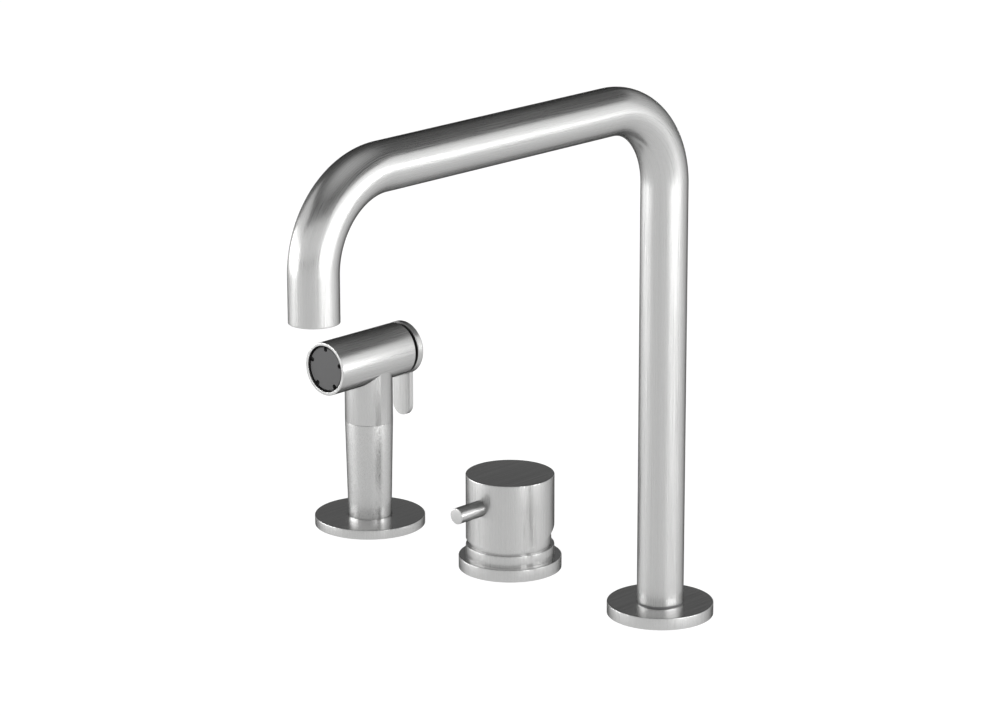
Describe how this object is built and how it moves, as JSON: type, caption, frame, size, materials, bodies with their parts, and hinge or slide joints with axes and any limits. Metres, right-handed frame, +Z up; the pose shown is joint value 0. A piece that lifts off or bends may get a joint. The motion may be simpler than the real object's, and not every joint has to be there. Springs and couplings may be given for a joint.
{
  "type": "side spray kitchen faucet",
  "caption": "Deck-mounted kitchen faucet in brushed steel: square-arch swivel spout, pin-lever mixer control and pull-out side spray with a rear paddle trigger.",
  "frame": {"origin": "on the spout's vertical axis at deck level, the underside of its flange", "axes": "+Z up, -Y towards the user along the spout's reach, the control at x = -0.110 and the spray at x = -0.220"},
  "size_m": [0.28, 0.296, 0.378],
  "materials": {
    "steel": "fine brushed stainless steel",
    "brass": "turned brass",
    "rubber": "black rubber",
    "nylon": "white nylon",
    "black_plastic": "black plastic",
    "grey_plastic": "dark grey plastic",
    "ceramic": "polished ceramic"
  },
  "bodies": {
    "deck_units": {"deck_gaskets": "rubber", "rubber_washers": "rubber", "steel_washers": "steel", "lock_nuts": "brass", "spout_flange": "steel", "spout_shank": "steel", "swivel_washer": "nylon", "swivel_seals": "rubber", "diverter_cage": "nylon", "diverter_spring": "steel", "cap_gasket": "rubber", "spout_cap": "brass", "spout_inlet_tail": "brass", "spray_outlet_tail": "brass", "control_flange": "steel", "body_collar": "steel", "valve_body": "steel", "cartridge_cover": "steel", "clamp_nut": "brass", "cartridge_housing": "nylon", "cartridge_base": "nylon", "cartridge_gasket": "rubber", "fixed_disc": "ceramic", "supply_tails": "brass", "mixed_tail": "brass", "spray_flange": "steel", "spray_shank": "steel"},
    "spout": {"spout_tube": "steel", "swivel_bush": "nylon", "swivel_stop_screw": "steel", "aerator_housing": "nylon", "aerator_plate": "nylon", "aerator_seal": "rubber"},
    "diverter": {"diverter_poppet": "nylon", "diverter_seal": "rubber"},
    "spindle_turn": {"spindle": "nylon", "stem_pin": "steel"},
    "knob_lever": {"knob": "steel", "cartridge_stem": "steel", "lever_rod": "steel", "knob_screw": "steel", "knob_plug": "black_plastic"},
    "disc_slider": {"moving_disc": "ceramic", "disc_driver": "nylon"},
    "sleeve": {"guide_sleeve": "nylon"},
    "handset": {"handle_grip": "steel", "neck_washer": "rubber", "hose_connector": "brass", "spray_body": "steel", "spray_face": "grey_plastic", "valve_seat": "brass", "rear_plug": "black_plastic", "gland_seal": "rubber", "trigger_pin": "steel", "valve_spring": "steel"},
    "valve_rod": {"valve_plunger": "steel", "valve_seal": "rubber"},
    "trigger_lever": {"trigger": "steel"}
  },
  "joints": [
    {"name": "spout_swivel", "type": "hinge", "parent": "deck_units", "child": "spout", "pos_m": [0, 0, 0.0075], "axis": [0, 0, 1], "range_deg": [-75, 75]},
    {"name": "temperature_turn", "type": "hinge", "parent": "deck_units", "child": "spindle_turn", "pos_m": [-0.11, 0, 0.016], "axis": [0, 0, 1], "range_deg": [-50, 50]},
    {"name": "flow_tilt", "type": "hinge", "parent": "spindle_turn", "child": "knob_lever", "pos_m": [-0.11, 0, 0.016], "axis": [-1, 0, 0], "range_deg": [0, 25]},
    {"name": "disc_slide", "type": "slide", "parent": "spindle_turn", "child": "disc_slider", "axis": [0, -1, 0], "range_m": [0, 0.00423]},
    {"name": "spray_dock_turn", "type": "hinge", "parent": "deck_units", "child": "sleeve", "pos_m": [-0.22, 0, 0.00375], "axis": [0, 0, 1], "range_deg": [-180, 180]},
    {"name": "spray_pull_out", "type": "slide", "parent": "sleeve", "child": "handset", "axis": [0, 0, 1], "range_m": [0, 0.15]},
    {"name": "trigger_rock", "type": "hinge", "parent": "handset", "child": "trigger_lever", "pos_m": [-0.22, 0.0256, 0.0905], "axis": [-1, 0, 0], "range_deg": [0, 10], "stiffness_Nm_per_rad": 0.5, "springref_deg": -11.46},
    {"name": "valve_slide", "type": "slide", "parent": "handset", "child": "valve_rod", "axis": [0, 1, 0], "range_m": [0, 0.0014], "deforming": ["valve_spring"]},
    {"name": "diverter_slide", "type": "slide", "parent": "deck_units", "child": "diverter", "axis": [0, 0, 1], "range_m": [0, 0.0026], "deforming": ["diverter_spring"]}
  ],
  "couplings": [
    {"joint": "disc_slide", "follows": "flow_tilt", "m_per_rad": 0.009685},
    {"joint": "valve_slide", "follows": "trigger_rock", "m_per_rad": 0.008},
    {"joint": "diverter_slide", "follows": "trigger_rock", "m_per_rad": 0.014896}
  ]
}
